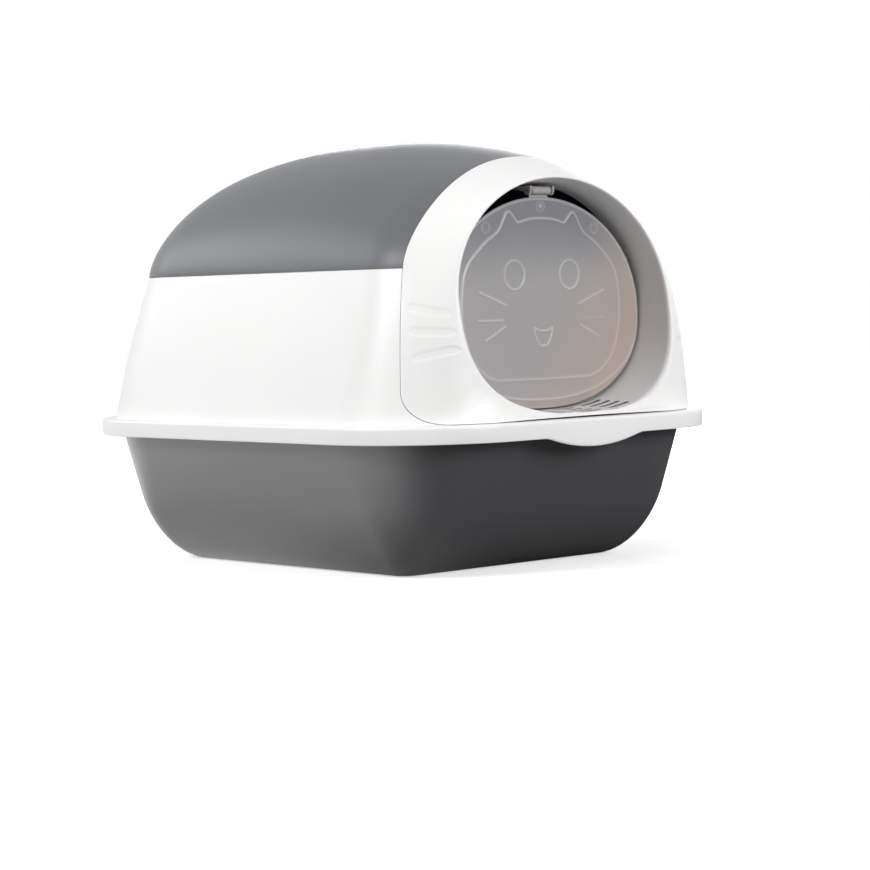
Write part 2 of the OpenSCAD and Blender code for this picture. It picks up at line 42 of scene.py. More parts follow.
# ---------- camera ----------
camera = {
    "azimuth": -42.6, "elevation": 3.1, "roll": -1.4,  # degrees; azimuth 0 looks along +Y
    "lens": 103.69, "sensor": 36.0,
    "distance": 2.2789,                                # metres from the aim point
    "aim": (0.0, 0.0, 0.18),
    "aimRight": -0.0360, "aimUp": 0.0706,              # where the aim point lies from the picture's middle
    "sees": 30,                                        # metres
}


def placeCamera():
    a, e, r = (math.radians(camera[k]) for k in ("azimuth", "elevation", "roll"))
    back = Vector((math.sin(a) * math.cos(e), -math.cos(a) * math.cos(e), math.sin(e)))
    side = Vector((0, 0, 1)).cross(back).normalized()
    rise = back.cross(side)
    right = side * math.cos(r) + rise * math.sin(r)
    up = rise * math.cos(r) - side * math.sin(r)
    lens = bpy.data.cameras.new("photoCamera")
    lens.lens = camera["lens"]
    lens.sensor_width = camera["sensor"]
    lens.clip_end = camera["sees"]
    holder = bpy.data.objects.new("photoCamera", lens)
    holder.matrix_world = Matrix((right, up, back)).transposed().to_4x4()
    eye = Vector(camera["aim"]) + back * camera["distance"]
    holder.matrix_world.translation = eye - right * camera["aimRight"] - up * camera["aimUp"]
    bpy.context.scene.collection.objects.link(holder)
    bpy.context.scene.camera = holder


placeCamera()
print("camera placed")

# ---------- mesh tools: millimetres in, metres out ----------


class Skin:
    # collects grids of points and closes them into one mesh
    def __init__(self):
        self.verts = []
        self.faces = []

    def grid(self, rows, wrapRows=False, wrapCols=True):
        first, cols, count = len(self.verts), len(rows[0]), len(rows)
        for row in rows:
            self.verts.extend(row)
        for j in range(count if wrapRows else count - 1):
            for k in range(cols if wrapCols else cols - 1):
                jn, kn = (j + 1) % count, (k + 1) % cols
                here, above = first + j * cols, first + jn * cols
                self.faces.append((here + k, here + kn, above + kn, above + k))
        return first

    def cap(self, start, count):
        self.faces.append(tuple(range(start, start + count)))

    def piece(self, name, sharp=None, weld=0.0):
        mesh = bpy.data.meshes.new(name)
        mesh.from_pydata([(x * mm, y * mm, z * mm) for x, y, z in self.verts], [], self.faces)
        work = bmesh.new()
        work.from_mesh(mesh)
        if weld:
            bmesh.ops.remove_doubles(work, verts=work.verts, dist=weld * mm)
        bmesh.ops.recalc_face_normals(work, faces=work.faces)
        work.to_mesh(mesh)
        work.free()
        mesh.polygons.foreach_set("use_smooth", [True] * len(mesh.polygons))
        if sharp:
            mesh.set_sharp_from_angle(angle=math.radians(sharp))
        thing = bpy.data.objects.new(name, mesh)
        bpy.context.scene.collection.objects.link(thing)
        return thing


def finishPiece(thing, body, material, slot, *nodes):
    thing.data.materials.append(material)
    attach(thing, body)
    if nodes:
        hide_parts(*nodes)
    return thing


def sinD(t):
    return math.sin(math.radians(t))


def cosD(t):
    return math.cos(math.radians(t))


def mix(p, q, u):
    return tuple(a + (b - a) * u for a, b in zip(p, q))


def steps(count):
    return [k / count for k in range(count + 1)]


def smooth(edge0, edge1, v):
    t = min(1.0, max(0.0, (v - edge0) / (edge1 - edge0)))
    return t * t * (3 - 2 * t)


def segment(x, z, a, b):
    dx, dz = b[0] - a[0], b[1] - a[1]
    t = min(1.0, max(0.0, ((x - a[0]) * dx + (z - a[1]) * dz) / (dx * dx + dz * dz)))
    return math.hypot(x - a[0] - dx * t, z - a[1] - dz * t)


# a straight stretch, with a support point close to each end so that the shading stays flat
def straight(p, q, parts=6, near=2.5):
    length = math.dist(p, q)
    if length < 3 * near:
        return []
    shares = [near / length] + [k / parts for k in range(1, parts)] + [1 - near / length]
    return [mix(p, q, u) for u in shares]


# rounded rectangle, anticlockwise from the +X side: half width a, front at -f, rear at b
def outline(a, f, b, rf, rr, z, fine=20, parts=6):
    def arc(cx, cy, r, start):
        return [(cx + r * cosD(start + 90 * u), cy + r * sinD(start + 90 * u), z) for u in steps(fine)]
    arcs = [arc(a - rr, b - rr, rr, 0), arc(rr - a, b - rr, rr, 90),
            arc(rf - a, rf - f, rf, 180), arc(a - rf, rf - f, rf, 270)]
    ring = []
    for k, here in enumerate(arcs):
        ring += here + straight(here[-1], arcs[(k + 1) % 4][0], parts)
    return ring


# an open or closed line in a section, with its corners rounded: corners are (across, up, radius)
def softLine(corners, closed=False, fine=5):
    out = []
    count = len(corners)
    for k, (x, y, r) in enumerate(corners):
        ends = not closed and k in (0, count - 1)
        if ends or r <= 0:
            out.append((x, y))
            continue
        p, q = Vector((x, y)), Vector(corners[(k + 1) % count][:2])
        o = Vector(corners[k - 1][:2])
        one, two = (o - p).normalized(), (q - p).normalized()
        reach = min(r, 0.45 * (o - p).length, 0.45 * (q - p).length)
        start, end = p + one * reach, p + two * reach
        for u in steps(fine):
            point = start * (1 - u) ** 2 + p * 2 * u * (1 - u) + end * u ** 2
            out.append((point.x, point.y))
    return out


# ---------- tray ----------
rim = {"width": 400, "length": 500, "radius": 105, "low": 115, "height": 15, "out": 9}
tray = {
    "wall": 3.0, "insetX": 12.5, "insetY": 23, "draftX": 18, "draftY": 26,
    "footHeight": 60, "footIn": 30, "footRadius": 13, "topRadius": 96, "lipEdge": 3.6, "seat": 0.3,
}
plateZ = rim["low"] + rim["height"]


def trayRing(z, inset=0.0, lift=0.0):
    t = tray
    h = t["footHeight"]
    foot = 1 - math.sqrt(max(0.0, 1 - ((h - z) / h) ** 2)) if z < h else 0.0
    a = rim["width"] / 2 - t["insetX"] - (rim["low"] - z) * math.tan(math.radians(t["draftX"]))
    b = rim["length"] / 2 - t["insetY"] - (rim["low"] - z) * math.tan(math.radians(t["draftY"]))
    a -= t["footIn"] * foot + inset
    b -= t["footIn"] * foot + inset
    r = t["footRadius"] + (t["topRadius"] - t["footRadius"]) * min(1.0, z / rim["low"]) - inset
    return outline(a, b, b, r, r, z + lift)


def rimRing(inset, z, parts=6):
    b = rim["length"] / 2 - inset
    r = rim["radius"] - inset
    return outline(rim["width"] / 2 - inset, b, b, r, r, z, parts=parts)


def makeTray():
    t = tray
    h = t["footHeight"]
    skin = Skin()
    top = plateZ - t["wall"] - t["seat"]
    footLevels = [h * (1 - cosD(90 * u)) for u in steps(18)]
    levels = footLevels + [h + (rim["low"] - h) * u for u in steps(6)[1:]]
    rows = [trayRing(z) for z in levels + [top - t["wall"] - 1.5]]
    under, lip = top - t["wall"], t["lipEdge"]
    edge = [(lip + 6, under, 1), (lip, under, 1.2), (lip, top, 1.2), (lip + 6, top, 0)]
    rows += [rimRing(x, z) for x, z in softLine(edge)]
    rows += [trayRing(top - 0.8, t["wall"] - 0.8, 0.8)]
    rows += [trayRing(z, t["wall"], t["wall"] * max(0.0, 1 - z / h)) for z in reversed(levels + [top - 1.6])]
    count = len(rows[0])
    skin.grid(rows)
    skin.cap(0, count)
    skin.cap(len(skin.verts) - count, count)
    return skin.piece("trayShell", sharp=50)


# ---------- hood: flange, skirt, pull tab and hinge ears ----------
skirt = {
    "height": 128, "wall": 3.0, "lean": 13, "faceLean": 7.5, "frontRadius": 75, "rearRadius": 88,
    "lip": 4.0, "lipLean": 0.8, "tabHalf": 56, "tabDrop": 9, "gap": 0.5,
}
lid = {
    "height": 113.5, "drop": 23, "ridgeY": -30, "wall": 2.2, "seamIn": 41, "seamBack": 12,
    "curlPower": 4.4, "ridgePower": 3, "archPower": 1.55,
}
hinge = {"pin": 4.0, "x": 55, "width": 10, "wall": 2.5, "gap": 0.4}
beltZ = plateZ + skirt["height"]
leanX = math.tan(math.radians(skirt["lean"]))
leanF = math.tan(math.radians(skirt["faceLean"]))
stepIn = lid["wall"] + 2 * tray["seat"]
stepWall = stepIn + 1.4
lipIn = stepWall + skirt["lipLean"]


def skirtX(z):
    return rim["width"] / 2 - rim["out"] - (z - plateZ) * leanX


def skirtF(z):
    return rim["length"] / 2 - rim["out"] - (z - plateZ) * leanF


def skirtB(z):
    return rim["length"] / 2 - rim["out"] - (z - plateZ) * leanX


def fade(z, power):
    return max(0.0, 1 - (z - plateZ) / skirt["height"]) ** power


def radF(z):
    return skirt["frontRadius"] + (rim["radius"] - skirt["frontRadius"]) * fade(z, 1.6)


def radB(z):
    return skirt["rearRadius"] + (rim["radius"] - skirt["rearRadius"]) * fade(z, 2.4)


def cornerX(z, y):
    r = radF(z)
    return skirtX(z) - r + math.sqrt(max(0.0, r * r - max(0.0, y - skirtF(z) + r) ** 2))


def faceY(z, x):
    r = radF(z)
    return skirtF(z) - r + math.sqrt(max(0.0, r * r - max(0.0, x - skirtX(z) + r) ** 2))


# the seam between the skirt and the bezel, as a depth in front of the middle
seamLine = {"lean": 6.4, "knee": 32}
kneeZ = plateZ + seamLine["knee"]
seamBelt = skirtF(beltZ) - lid["seamIn"]
kneeY = seamBelt + (beltZ - kneeZ) * math.tan(math.radians(seamLine["lean"]))


def seam(z):
    if z > kneeZ:
        return seamBelt + (beltZ - z) * math.tan(math.radians(seamLine["lean"]))
    k = seamLine["knee"]
    return kneeY + k - math.sqrt(max(0.0, k * k - (kneeZ - z) ** 2))


def seamAngle(z):
    return math.degrees(math.acos(min(1.0, (seam(z) - skirtF(z) + radF(z)) / radF(z))))


# half of the skirt's outline at height z, from the seam to the middle of the rear
def halfWall(z, inset, side, fine=14):
    a, f, r, s = skirtX(z), radF(z), radB(z), seamAngle(z)
    front = []
    for u in steps(fine // 2):
        t = s + (90 - s) * u
        front.append((side * (a - f + (f - inset) * sinD(t)), f - skirtF(z) - (f - inset) * cosD(t), z))
    rear = []
    for u in steps(fine):
        x, y = a - r + (r - inset) * cosD(90 * u), skirtB(z) - r + (r - inset) * sinD(90 * u)
        rear.append((side * x, y, z))
    return front + straight(front[-1], rear[0], 8) + rear + straight(rear[-1], (0, rear[-1][1], z), 3)


def wallRow(z, inset, atZ=None):
    row = halfWall(z, inset, -1) + [(0, skirtB(z) - inset, z)] + list(reversed(halfWall(z, inset, 1)))
    return row if atZ is None else [(x, y, atZ) for x, y, _ in row]


def addSheet(skin, outer, inner):
    rings = [a + list(reversed(b)) for a, b in zip(outer, inner)]
    first = skin.grid(rings)
    cols, ring = len(outer[0]), len(rings[0])
    for row in (0, len(rings) - 1):
        base = first + row * ring
        for k in range(cols - 1):
            skin.faces.append((base + k, base + k + 1, base + ring - 2 - k, base + ring - 1 - k))


def makeSkirt():
    skin = Skin()
    beltTop, lip, lean = beltZ - tray["seat"], skirt["lip"], skirt["lipLean"]
    low = [kneeZ - seamLine["knee"] * cosD(90 * u) for u in steps(12)]
    rows = [plateZ - 1] + low + [kneeZ + (beltZ - 19 - kneeZ) * u for u in steps(10)[1:]]
    outer = [wallRow(z, 0) for z in rows] + [wallRow(beltZ - 6, 0), wallRow(beltZ - 0.6, 0)]
    outer += [wallRow(beltZ, 0.15, beltTop - 0.15), wallRow(beltZ, 0.6, beltTop)]
    outer += [wallRow(beltZ, stepIn, beltTop), wallRow(beltZ, stepIn + lean, beltTop + lip)]
    inner = [wallRow(z, skirt["wall"]) for z in rows]
    inner += [wallRow(beltZ - 6, stepWall), wallRow(beltZ - 0.6, stepWall)]
    inner += [wallRow(beltZ, stepWall, beltTop - 0.15), wallRow(beltZ, stepWall, beltTop)]
    inner += [wallRow(beltZ, stepWall + lean * u, beltTop + lip * u) for u in (0.5, 1.0)]
    addSheet(skin, outer, inner)
    return skin.piece("hoodSkirt", sharp=35)


# depth of the pull tab below the flange at half width x
def tabDrop(x):
    return skirt["tabDrop"] * max(0.0, 1 - (x / skirt["tabHalf"]) ** 2)


def makeFlange():
    skin = Skin()
    wall, low, top = skirt["wall"], rim["low"], plateZ
    inside = rim["out"] + wall + 2
    section = [(0, low, 0.9), (0, top, 3.2), (inside, top, 0), (inside, top - wall, 0),
               (wall, top - wall, 1.5), (wall, low, 0.9)]
    rows = []
    for inset, z in softLine(section, closed=True):
        share = min(1.0, max(0.0, (low + 3 - z) / 3)) if inset <= wall + 0.1 else 0.0
        rows.append([(px, py, pz - share * tabDrop(px)) if py < 0 else (px, py, pz)
                     for px, py, pz in rimRing(inset, z, parts=36)])
    skin.grid(rows, wrapRows=True)
    return skin.piece("hoodFlange", sharp=40)


# ---------- lid: its outline ----------


def lidX(y, inset):
    a, f, r = skirtX(beltZ), skirt["frontRadius"], skirt["rearRadius"]
    df = max(0.0, f - skirtF(beltZ) - y)
    db = max(0.0, y - skirtB(beltZ) + r)
    if df > 0:
        return a - f + math.sqrt(max(0.0, f * f - df * df)) - inset
    return a - r + math.sqrt(max(0.0, (r - inset) ** 2 - db * db))


def lidRise(y, inset):
    end, ridge = skirtB(beltZ) - inset, lid["ridgeY"]
    if y < ridge:
        return lid["height"] - inset - lid["drop"] * ((ridge - y) / (ridge + seamBelt)) ** 2
    n = lid["ridgePower"]
    return (lid["height"] - inset) * max(0.0, 1 - ((y - ridge) / (end - ridge)) ** n) ** (1 / n)


# a point of the arch that starts at place y: the front edge curls back towards its top
def archPoint(y, inset, t):
    up = max(0.0, sinD(t))
    share = max(0.0, (lid["ridgeY"] - y) / (lid["ridgeY"] + seamBelt))
    depth = y + lid["seamBack"] * share * up ** lid["curlPower"]
    return -lidX(depth, inset) * cosD(t), depth, beltZ + lidRise(depth, inset) * up ** (2 / lid["archPower"])


def lidArch(y, inset, fine=72):
    return [archPoint(y, inset, 180 * u) for u in steps(fine)]


# ---------- bezel ----------
entry = {
    "mouthWidth": 250, "mid": 30, "up": 104, "wall": 2.6, "doorIn": 52, "back": 12, "taper": 4.5,
    "set": 5, "roundLow": 2.7, "tunnelDrop": 1.5, "lipRound": 6.0,
    # the cheeks' swelling, and the degrees round the mouth between which it comes and goes
    "archSlope": 0.95, "slope": 0.42, "power": 3.3, "swellComes": (62, 100), "swellGoes": (142, 118),
    # degrees round the mouth that meet the ends of the seam's arch, side and knee
    "archEnds": 77, "sideEnds": 110, "kneeEnds": 128,
    "slotWidth": 4.4, "slotLength": 24, "slotGap": 10, "slotPitch": 11, "slotRows": 4, "slotFirst": 6.5,
    "slotTop": 30, "slotSteep": 0.35,
    # half width and depth of the grooves, the way that they press in, and how far out they start
    "grooveHalf": 3.3, "grooveDeep": 0.35, "grooveWay": (0.75, 0.66), "grooveFrom": 110,
    # the foot stands a little off the flange in its middle, which shows as a dark line
    "footGap": 1.0, "footGapHalf": 108,
    # ends of the shallow whisker grooves on the cheeks, as places in Y and Z
    "grooves": (((-195.6, 225.6), (-216.5, 220.3)), ((-199.6, 206.4), (-219.5, 204.9)),
                ((-203.7, 184.9), (-222, 190.4))),
}
mouthZ = beltZ - entry["mid"]
sillZ = plateZ + skirt["gap"] + entry["wall"] + 1
mouthDown = mouthZ - sillZ
footY = rim["out"] - rim["length"] / 2
doorY = footY + entry["doorIn"]
tunnelY = doorY + entry["back"]
bezelLow = plateZ + skirt["gap"]


def egg(m, w, up, down):
    if m < 90:
        return w * sinD(m), up * cosD(m)
    n = 2 / entry["roundLow"]
    return w * sinD(m) ** n, -down * max(0.0, -cosD(m)) ** n


def mouth(m):
    x, h = egg(m, entry["mouthWidth"] / 2, entry["up"], mouthDown)
    z = mouthZ + h
    return x, entry["set"] * (2 * x / entry["mouthWidth"]) ** 2 - skirtF(z), z


def throat(m, out):
    t = entry["taper"]
    down = mouthDown - entry["tunnelDrop"] + out
    x, h = egg(m, entry["mouthWidth"] / 2 - t + out, entry["up"] - t + out, down)
    return x, tunnelY, mouthZ + h


def seamPoint(z, y):
    return cornerX(z, y), -y - skirt["gap"], z


# the seam seen from the front, with the degrees round the mouth that each point meets
def seamStations():
    arch, side, knee, floor = 64, 84, 32, 44
    one, two, three = entry["archEnds"], entry["sideEnds"], entry["kneeEnds"]
    line = []
    for u in steps(arch):
        x, y, z = archPoint(-seamBelt, 0, 90 + 90 * u)
        line.append((one * u, (x, y - skirt["gap"], z)))
    for u in steps(side)[1:]:
        z = beltZ + (kneeZ - beltZ) * u
        line.append((one + (two - one) * u, seamPoint(z, seam(z))))
    for u in steps(knee)[1:]:
        t = 90 * u
        z, y = kneeZ - (kneeZ - bezelLow) * sinD(t), kneeY + seamLine["knee"] * (1 - cosD(t))
        line.append((two + (three - two) * u, seamPoint(z, y)))
    endX = line[-1][1][0]
    for u in steps(floor)[1:]:
        x = endX * (1 - u)
        z = bezelLow + entry["footGap"] * max(0.0, 1 - (x / entry["footGapHalf"]) ** 2)
        line.append((three + (180 - three) * u, (x, -faceY(z, x), z)))
    return line


# how far back a place on the cheek lies: nearly straight over the arch and under the mouth, swelling out
# on the cheeks
def swell(u, m):
    low, high = entry["archSlope"], entry["slope"]
    slope = low + (high - low) * smooth(*entry["swellComes"], m) * smooth(*entry["swellGoes"], m)
    return slope * u + (1 - slope) * u ** entry["power"]


def between(p, q, u, v):
    return p[0] + (q[0] - p[0]) * u, p[1] + (q[1] - p[1]) * v, p[2] + (q[2] - p[2]) * u


def inward(p, depth):
    dx, dz = p[0], p[2] - mouthZ
    d = math.hypot(dx, dz)
    return p[0] - dx * depth / d, p[1], p[2] - dz * depth / d


# the shallow grooves: how far a place on the cheek is pressed in
def grooveDepth(p):
    near = min(segment(p[1], p[2], a, b) for a, b in entry["grooves"])
    return entry["grooveDeep"] * smooth(entry["grooveHalf"] + 0.6, entry["grooveHalf"] - 0.9, near)


def pressed(p):
    depth = grooveDepth(p) if p[0] > entry["grooveFrom"] else 0.0
    across, back = entry["grooveWay"]
    return p[0] - across * depth, p[1] + back * depth, p[2]


# how far along the cheek, as a share, a point lies that is "reach" away from the mouth's edge
def cheekShare(p, q, m, reach):
    low, high = 0.0, 1.0
    for _ in range(16):
        u = (low + high) / 2
        if math.dist(p, between(p, q, u, swell(u, m))) < reach:
            low = u
        else:
            high = u
    return low


def bezelRing(m, q):
    p, w, v = mouth(m), throat(m, 0), throat(m, entry["wall"])
    reach = math.hypot(q[0] - p[0], q[2] - p[2])
    room = min(1.0, reach / 14)
    soft = min(entry["lipRound"], 0.3 * reach)
    qi = inward(q, (lipIn + 1) * room)
    away = inward(p, -1)
    pi = tuple(between(p, v, 0.35, 0.35)[k] + (away[k] - p[k]) * entry["wall"] * room for k in range(3))
    start = cheekShare(p, q, m, soft)
    tunnel = [mix(p, w, 1 - (1 - soft / math.dist(p, w)) * t) for t in steps(18)]
    shares = [start + (1 - start) * t for t in steps(64)]
    cheek = [pressed(between(p, q, u, swell(u, m))) for u in shares]
    lip = [mix(mix(tunnel[-1], p, u), mix(p, cheek[0], u), u) for u in steps(8)[1:-1]]
    edge = [mix(q, qi, u) for u in (0.12, 1.0)]
    hidden = [between(pi, qi, u, swell(u, m)) for u in (0.8, 0.6, 0.4, 0.2)]
    sleeve = [mix(pi, v, u) for u in steps(5)]
    return tunnel + lip + cheek + edge + hidden + sleeve


# the lip behind the seam, which the lid and the skirt's edges lie over
def addSeamLip(skin, line):
    def row(shift, depth):
        side = [(p[0], p[1] + shift, p[2]) for p in (inward(q, depth) for q in line)]
        return [(-x, y, z) for x, y, z in reversed(side[1:])] + side
    addSheet(skin, [row(-5, lipIn), row(7.5, lipIn)], [row(-5, lipIn + 1.6), row(7.5, lipIn + 1.6)])


# closed blocks that stand where the drain slots are cut through the tunnel's floor
def makeSlotBlocks():
    skin = Skin()
    half, long = entry["slotWidth"] / 2, entry["slotLength"]
    for column in (-1.5, -0.5, 0.5, 1.5):
        for row in range(entry["slotRows"]):
            x, y = column * (long + entry["slotGap"]), doorY - entry["slotFirst"] - row * entry["slotPitch"]
            ring = [(x + side * (long / 2 - half) + half * cosD(t), y + half * sinD(t))
                    for side, t0 in ((1, -90), (-1, 90)) for t in range(t0, t0 + 181, 30)]
            ends = (plateZ - 2, plateZ + entry["slotTop"])
            first = skin.grid([[(px, py, z) for px, py in ring] for z in ends])
            skin.cap(first, len(ring))
            skin.cap(first + len(ring), len(ring))
    return skin.piece("slotBlocks")


# walls of the drain slots take the second finish, a painted shade: they are darkened where shade falls in
# the slots
def markSlotWalls(thing):
    ends = 2 * entry["slotLength"] + 1.5 * entry["slotGap"] + 1
    front = doorY - entry["slotFirst"] - (entry["slotRows"] - 0.5) * entry["slotPitch"]
    for face in thing.data.polygons:
        x, y, z = face.center / mm
        inside = abs(x) < ends and front < y < doorY and z < plateZ + entry["slotTop"]
        if inside and abs(face.normal.z) < entry["slotSteep"]:
            face.material_index = 1
    return thing


def cutWith(thing, blocks):
    cut = thing.modifiers.new("cut", "BOOLEAN")
    cut.object = blocks
    cut.operation = "DIFFERENCE"
    cut.solver = "EXACT"
    scene = bpy.context.evaluated_depsgraph_get()
    mesh = bpy.data.meshes.new_from_object(thing.evaluated_get(scene))
    thing.modifiers.clear()
    thing.data = mesh
    bpy.data.objects.remove(blocks)
    mesh.polygons.foreach_set("use_smooth", [True] * len(mesh.polygons))
    mesh.set_sharp_from_angle(angle=math.radians(50))
    return thing


def makeBezel():
    skin = Skin()
    half = seamStations()
    rings = [bezelRing(m, q) for m, q in half]
    other = [[(-x, y, z) for x, y, z in ring] for ring in reversed(rings[1:-1])]
    skin.grid(rings + other, wrapRows=True)
    return markSlotWalls(cutWith(skin.piece("entryBezel"), makeSlotBlocks()))


def makeBezelLip():
    skin = Skin()
    addSeamLip(skin, [q for _, q in seamStations() if q[2] >= kneeZ])
    return skin.piece("bezelLip", sharp=40)


# ---------- lid shell ----------


def lidPlaces(inset, front=30, rear=60):
    ridge, end = lid["ridgeY"], skirtB(beltZ) - inset
    first = [-seamBelt + (ridge + seamBelt) * k / front for k in range(front)]
    return first + [ridge + (end - ridge) * sinD(90 * u) for u in steps(rear)]


def makeLid():
    skin = Skin()
    outer = [lidArch(y, 0) for y in lidPlaces(0)]
    inner = [lidArch(y, lid["wall"]) for y in lidPlaces(lid["wall"])]
    addSheet(skin, outer, inner)
    return skin.piece("domeShell", sharp=50, weld=0.01)


# ---------- round and flat bits ----------


# a circle round a line along X
def roundX(x, y, z, r, fine):
    return [(x, y + r * cosD(360 * k / fine), z + r * sinD(360 * k / fine)) for k in range(fine)]


# a bar along X whose ends are softened
def addBar(skin, x0, x1, y, z, radius, soft=0.4, fine=28):
    line = ((x0, radius - soft), (x0 + soft, radius), (x1 - soft, radius), (x1, radius - soft))
    first = skin.grid([roundX(x, y, z, r, fine) for x, r in line])
    skin.cap(first, fine)
    skin.cap(first + 3 * fine, fine)


# a tube along X, open through its bore
def addTube(skin, x0, x1, y, z, radius, bore, soft=0.4, fine=28):
    corners = [(x0, radius, soft), (x1, radius, soft), (x1, bore, soft * 0.5), (x0, bore, soft * 0.5)]
    rows = [roundX(x, y, z, r, fine) for x, r in softLine(corners, closed=True, fine=3)]
    skin.grid(rows, wrapRows=True)


# a flat outline in Y and Z, thickened along X, with softened edges
def addPlateX(skin, x0, x1, corners, soft=0.35):
    line = softLine(corners, closed=True, fine=4)
    cy = sum(p[0] for p in line) / len(line)
    cz = sum(p[1] for p in line) / len(line)

    def ring(x, inset):
        out = []
        for y, z in line:
            d = math.hypot(y - cy, z - cz)
            out.append((x, y - (y - cy) * inset / d, z - (z - cz) * inset / d))
        return out
    rows = [ring(x0, soft), ring(x0 + soft, 0), ring(x1 - soft, 0), ring(x1, soft)]
    first = skin.grid(rows)
    skin.cap(first, len(line))
    skin.cap(first + 3 * len(line), len(line))


# ---------- lid hinge ----------
hingeR = hinge["pin"] / 2 + hinge["wall"]
hingeY = skirtB(beltZ) + hingeR + 1.5
hingeZ = beltZ
pinLength = 3 * hinge["width"] + 2 * hinge["gap"]


def makeEars():
    skin = Skin()
    b, top = skirtB(beltZ), beltZ - tray["seat"]
    reach = 11
    web = [(hingeY, hingeZ - hingeR, 0), (hingeY + hingeR - 1, hingeZ - 1, 0), (hingeY - 1, hingeZ - 1, 0),
           (b + 0.8, top - 0.6, 0), (b - 1, top - 0.6, 0), (b - 1 + reach * leanX, beltZ - reach, 0)]
    for side in (-1, 1):
        start = side * hinge["x"] - pinLength / 2
        for x in (start, start + pinLength - hinge["width"]):
            addTube(skin, x, x + hinge["width"], hingeY, hingeZ, hingeR, hinge["pin"] / 2 + 0.03)
            addPlateX(skin, x + 0.3, x + hinge["width"] - 0.3, web)
    return skin.piece("hingeEars", sharp=40)


def makeKnuckles():
    skin = Skin()
    b = skirtB(beltZ)
    web = [(hingeY + hingeR - 1, hingeZ + 1, 0), (hingeY, hingeZ + hingeR, 0), (b - 1.2, beltZ + 9, 0),
           (b - 1.2, beltZ + 0.8, 0), (hingeY - 1, beltZ + 0.8, 0)]
    for side in (-1, 1):
        start = side * hinge["x"] - hinge["width"] / 2
        addTube(skin, start, start + hinge["width"], hingeY, hingeZ, hingeR, hinge["pin"] / 2 + 0.08)
        addPlateX(skin, start + 0.3, start + hinge["width"] - 0.3, web)
    return skin.piece("lidKnuckles", sharp=40)


def makeHingePin(side):
    skin = Skin()
    middle = side * hinge["x"]
    addBar(skin, middle - pinLength / 2, middle + pinLength / 2, hingeY, hingeZ, hinge["pin"] / 2)
    return skin.piece("hingePin" + ("Left" if side < 0 else "Right"), sharp=40)


# ---------- door ----------
door = {
    "gap": 2.6, "thick": 2.0, "topGap": 11, "lowGap": 1.2, "powerUp": 2.04, "powerLow": 2.3, "midDrop": 12,
    "quickGrid": 120, "fullGrid": 260,
}
mouthDepth = entry["doorIn"] - entry["up"] * leanF
throatTop = mouthZ + entry["up"] - entry["taper"]
doorTop = throatTop - door["topGap"]
doorLow = sillZ + entry["tunnelDrop"] + door["lowGap"]
doorMid = mouthZ - door["midDrop"]
throatWidth = entry["mouthWidth"] - 2 * entry["taper"] * mouthDepth / (mouthDepth + entry["back"])
doorHalf = throatWidth / 2 - door["gap"]
# the relief, in millimetres from the middle of the door's widest line
face = {
    # half of the head's outline from brow to chin: across, up, roundness of the corner
    "head": [(0, 82.6, 0), (15, 82, 12), (28, 78.4, 2.5), (39.2, 90.5, 6.5), (50.5, 71, 6), (66, 62.5, 25),
             (91, 41, 30), (96.5, 2, 40), (87, -35, 34), (64, -54, 28), (0, -54.5, 0)],
    "eye": (33, 34.5), "eyeSize": (11.7, 12.3),
    # strokes beside the mouth, from the top; the middle one is faint on the right
    "whiskers": (((44, 9), (74.5, 20.5)), ((48, -3.5), (76.5, -3.5)), ((45.5, -9), (68, -20))),
    "smile": [(0, -13.4, 0), (6, -13, 3), (10.8, -10.2, 0.6), (9.8, -18.5, 7), (4.2, -26, 4), (0, -26, 0)],
    "rings": ((65, 74), (0, 92.4)), "ringSize": 4.4,
    "plate": 0.55, "line": 0.5, "lineHalf": 0.75, "rimBand": 1.8, "lowBand": 7.5, "bevel": 1.0,
    "wideHalf": 0.9,                    # half width of the lines along the head and the rim
    "rimShare": 0.8, "ringShare": 0.45, "faintShare": 0.3, "eyeSink": 0.2,
    # the head's outline runs near this share of the way to the edge, apart from its ears
    "headNear": 0.8, "headSpan": 0.27, "earsFrom": 60, "plateWithin": 0.6,
}


def doorShare(x, z):
    # how far out a point of the door lies: 0 in the middle, 1 on its edge
    h, n = (doorTop - doorMid, door["powerUp"]) if z > 0 else (doorMid - doorLow, door["powerLow"])
    return ((abs(x) / doorHalf) ** n + (abs(z) / h) ** n) ** (1 / n)


headLine = softLine(face["head"], fine=8)
smileLine = softLine(face["smile"], fine=6)


# distance to an open line, for the right half of the face
def lineDistance(line, x, z):
    return min(segment(x, z, a, b) for a, b in zip(line, line[1:]))


# whether a point lies inside the area between a line and the face's middle
def lineHolds(line, x, z):
    hits = 0
    for (xa, za), (xb, zb) in zip(line, line[1:]):
        if (za > z) != (zb > z) and x < xa + (z - za) * (xb - xa) / (zb - za):
            hits += 1
    return hits % 2 == 1


# height of a moulded line at a distance from its middle
def ridge(distance, half=None):
    return math.exp(-(distance / (half or face["lineHalf"])) ** 2)


# how far inside the head's outline a place lies, or None where that is far from it
def insideHead(x, z):
    share = doorShare(x, z)
    if abs(share - face["headNear"]) > face["headSpan"] and z < face["earsFrom"]:
        return None
    away = lineDistance(headLine, x, z)
    return away if lineHolds(headLine, x, z) else -away


# distances that shape the door's front at a place: to its edge, to the head's outline, to the eye's
def faceDistances(x, z):
    share, ax = doorShare(x, z), abs(x)
    fromEdge = math.hypot(x, z) * (1 / share - 1) if share > 0 else 100.0
    (ex, ez), (wide, high) = face["eye"], face["eyeSize"]
    eye = (math.hypot((ax - ex) / wide, (z - ez) / high) - 1) * wide
    return fromEdge, insideHead(ax, z), eye


